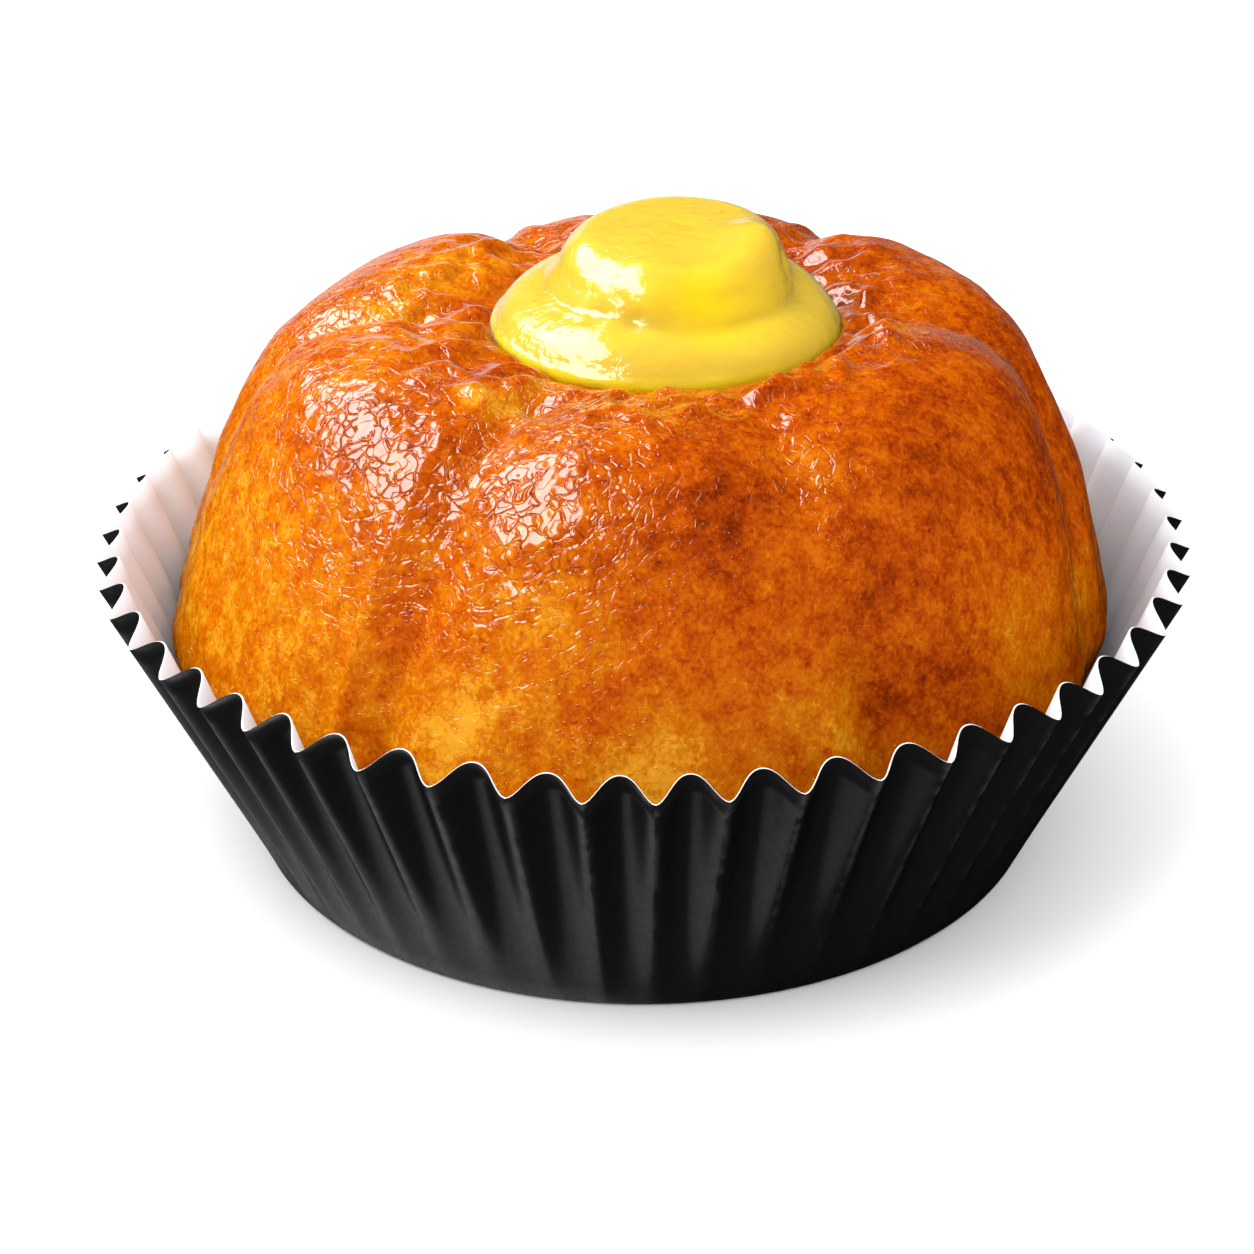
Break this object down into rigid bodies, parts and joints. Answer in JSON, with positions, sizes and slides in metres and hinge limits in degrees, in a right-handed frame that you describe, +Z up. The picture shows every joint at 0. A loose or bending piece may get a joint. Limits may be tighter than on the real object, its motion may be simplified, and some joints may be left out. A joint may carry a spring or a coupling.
{
  "type": "lemon cake",
  "caption": "Small round fluted cake with a glossy browned crust and a spoonful of lemon curd in the well on top, standing in a pleated paper case.",
  "frame": {"origin": "middle of the paper case's underside, on the surface it stands on", "axes": "+Z up; -Y is the front, the side that the picture shows; +X is the picture's right"},
  "size_m": [0.096, 0.096, 0.0558],
  "materials": {
    "case_paper": "satin black outside, matt white inside",
    "baked_crust": "golden-brown baked crust under a thin wet glaze",
    "lemon_curd": "glossy translucent lemon yellow"
  },
  "bodies": {
    "root": {"paper_case": "case_paper", "cake": "baked_crust", "lemon_curd": "lemon_curd"}
  },
  "joints": []
}
